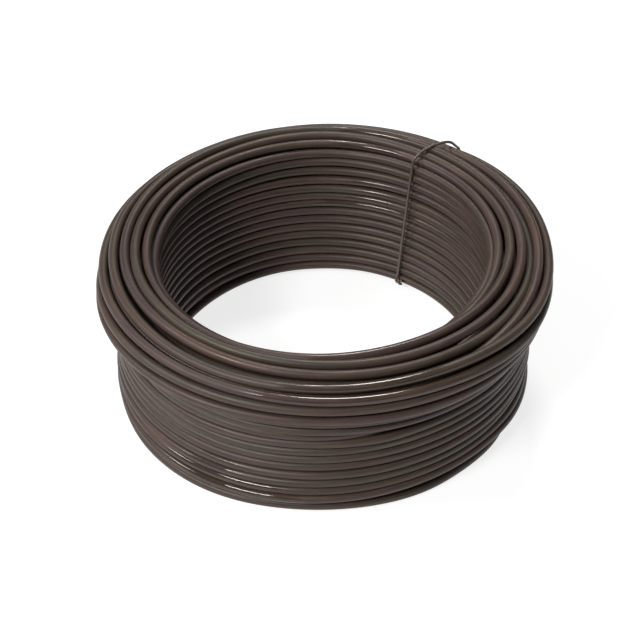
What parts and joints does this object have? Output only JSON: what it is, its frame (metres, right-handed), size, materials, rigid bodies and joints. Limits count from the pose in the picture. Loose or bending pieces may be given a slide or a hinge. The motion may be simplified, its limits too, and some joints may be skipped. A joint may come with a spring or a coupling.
{
  "type": "coil of annealed iron wire",
  "caption": "Loose round coil of dark annealed iron wire lying flat, wider at the top than below, its turns held by a thin tie wire.",
  "frame": {"origin": "centre of the underside, where the lowest turns rest", "axes": "+Z along the axis of the bore, upward; the tie wire crosses the turns 55 degrees from +X towards +Y"},
  "size_m": [0.129, 0.129, 0.0501],
  "materials": {
    "annealed_wire": "black-brown annealing scale, dull, with thin drawn streaks that catch the light and a faint change of hue from turn to turn",
    "tie_wire": "dull grey-brown annealed wire, a little lighter than the coil"
  },
  "bodies": {
    "root": {"wire_coil": "annealed_wire", "tie_wire": "tie_wire"}
  },
  "joints": []
}
